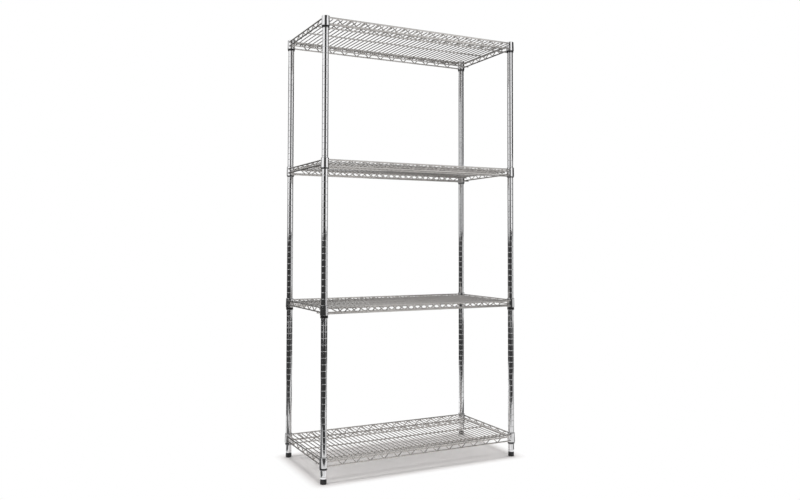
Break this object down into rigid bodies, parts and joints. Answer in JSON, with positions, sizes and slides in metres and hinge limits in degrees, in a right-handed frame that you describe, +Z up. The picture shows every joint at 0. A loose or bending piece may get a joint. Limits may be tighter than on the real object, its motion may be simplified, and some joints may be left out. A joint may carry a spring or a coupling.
{
  "type": "wire shelving unit",
  "caption": "Free-standing wire shelving unit: grooved chrome posts on levelling feet carry welded wire shelves that wedge on split sleeves and lift off.",
  "frame": {"origin": "on the floor, midway between the four posts", "axes": "+Z up, +X to the right as seen from the front, +Y to the back"},
  "size_m": [0.9116, 0.4534, 1.8315],
  "materials": {
    "post_chrome": "polished chrome plating",
    "collar_chrome": "polished chrome plating",
    "wire_chrome": "bright zinc and chrome plating",
    "sleeve_plastic": "black moulded plastic",
    "cap_plastic": "black moulded plastic",
    "foot_plastic": "black moulded plastic",
    "insert_steel": "zinc plated",
    "stud_steel": "zinc plated"
  },
  "bodies": {
    "frame": {"post_front_left": "post_chrome", "post_front_right": "post_chrome", "post_rear_left": "post_chrome", "post_rear_right": "post_chrome", "cap_front_left": "cap_plastic", "cap_front_right": "cap_plastic", "cap_rear_left": "cap_plastic", "cap_rear_right": "cap_plastic", "insert_front_left": "insert_steel", "insert_front_right": "insert_steel", "insert_rear_left": "insert_steel", "insert_rear_right": "insert_steel", "shelf_1_left_sleeves": "sleeve_plastic", "shelf_1_right_sleeves": "sleeve_plastic", "shelf_2_left_sleeves": "sleeve_plastic", "shelf_2_right_sleeves": "sleeve_plastic", "shelf_3_left_sleeves": "sleeve_plastic", "shelf_3_right_sleeves": "sleeve_plastic", "shelf_4_left_sleeves": "sleeve_plastic", "shelf_4_right_sleeves": "sleeve_plastic"},
    "shelf_1": {"shelf_1_collars": "collar_chrome", "shelf_1_front_truss": "wire_chrome", "shelf_1_rear_truss": "wire_chrome", "shelf_1_left_truss": "wire_chrome", "shelf_1_right_truss": "wire_chrome", "shelf_1_support_trusses": "wire_chrome", "shelf_1_center_support": "wire_chrome", "shelf_1_deck_wires": "wire_chrome"},
    "shelf_2": {"shelf_2_collars": "collar_chrome", "shelf_2_front_truss": "wire_chrome", "shelf_2_rear_truss": "wire_chrome", "shelf_2_left_truss": "wire_chrome", "shelf_2_right_truss": "wire_chrome", "shelf_2_support_trusses": "wire_chrome", "shelf_2_center_support": "wire_chrome", "shelf_2_deck_wires": "wire_chrome"},
    "shelf_3": {"shelf_3_collars": "collar_chrome", "shelf_3_front_truss": "wire_chrome", "shelf_3_rear_truss": "wire_chrome", "shelf_3_left_truss": "wire_chrome", "shelf_3_right_truss": "wire_chrome", "shelf_3_support_trusses": "wire_chrome", "shelf_3_center_support": "wire_chrome", "shelf_3_deck_wires": "wire_chrome"},
    "shelf_4": {"shelf_4_collars": "collar_chrome", "shelf_4_front_truss": "wire_chrome", "shelf_4_rear_truss": "wire_chrome", "shelf_4_left_truss": "wire_chrome", "shelf_4_right_truss": "wire_chrome", "shelf_4_support_trusses": "wire_chrome", "shelf_4_center_support": "wire_chrome", "shelf_4_deck_wires": "wire_chrome"},
    "pad_front_left": {"foot_pad_front_left": "foot_plastic"},
    "stud_front_left": {"foot_stud_front_left": "stud_steel"},
    "pad_front_right": {"foot_pad_front_right": "foot_plastic"},
    "stud_front_right": {"foot_stud_front_right": "stud_steel"},
    "pad_rear_left": {"foot_pad_rear_left": "foot_plastic"},
    "stud_rear_left": {"foot_stud_rear_left": "stud_steel"},
    "pad_rear_right": {"foot_pad_rear_right": "foot_plastic"},
    "stud_rear_right": {"foot_stud_rear_right": "stud_steel"}
  },
  "joints": [
    {"name": "shelf_1_lift", "type": "slide", "parent": "frame", "child": "shelf_1", "axis": [0, 0, 1], "range_m": [0, 0.536]},
    {"name": "shelf_2_lift", "type": "slide", "parent": "frame", "child": "shelf_2", "axis": [0, 0, 1], "range_m": [0, 0.532]},
    {"name": "shelf_3_lift", "type": "slide", "parent": "frame", "child": "shelf_3", "axis": [0, 0, 1], "range_m": [0, 0.513]},
    {"name": "shelf_4_lift", "type": "slide", "parent": "frame", "child": "shelf_4", "axis": [0, 0, 1], "range_m": [0, 0.12]},
    {"name": "foot_front_left_height", "type": "slide", "parent": "frame", "child": "pad_front_left", "axis": [0, 0, -1], "range_m": [0, 0.02]},
    {"name": "foot_front_left_turn", "type": "hinge", "parent": "pad_front_left", "child": "stud_front_left", "pos_m": [-0.439, -0.21, 0.017], "axis": [0, 0, -1], "range_deg": [0, 4536]},
    {"name": "foot_front_right_height", "type": "slide", "parent": "frame", "child": "pad_front_right", "axis": [0, 0, -1], "range_m": [0, 0.02]},
    {"name": "foot_front_right_turn", "type": "hinge", "parent": "pad_front_right", "child": "stud_front_right", "pos_m": [0.439, -0.21, 0.017], "axis": [0, 0, -1], "range_deg": [0, 4536]},
    {"name": "foot_rear_left_height", "type": "slide", "parent": "frame", "child": "pad_rear_left", "axis": [0, 0, -1], "range_m": [0, 0.02]},
    {"name": "foot_rear_left_turn", "type": "hinge", "parent": "pad_rear_left", "child": "stud_rear_left", "pos_m": [-0.439, 0.21, 0.017], "axis": [0, 0, -1], "range_deg": [0, 4536]},
    {"name": "foot_rear_right_height", "type": "slide", "parent": "frame", "child": "pad_rear_right", "axis": [0, 0, -1], "range_m": [0, 0.02]},
    {"name": "foot_rear_right_turn", "type": "hinge", "parent": "pad_rear_right", "child": "stud_rear_right", "pos_m": [0.439, 0.21, 0.017], "axis": [0, 0, -1], "range_deg": [0, 4536]}
  ],
  "couplings": [
    {"joint": "foot_front_left_turn", "follows": "foot_front_left_height", "rad_per_m": 3957.9},
    {"joint": "foot_front_right_turn", "follows": "foot_front_right_height", "rad_per_m": 3957.9},
    {"joint": "foot_rear_left_turn", "follows": "foot_rear_left_height", "rad_per_m": 3957.9},
    {"joint": "foot_rear_right_turn", "follows": "foot_rear_right_height", "rad_per_m": 3957.9}
  ]
}
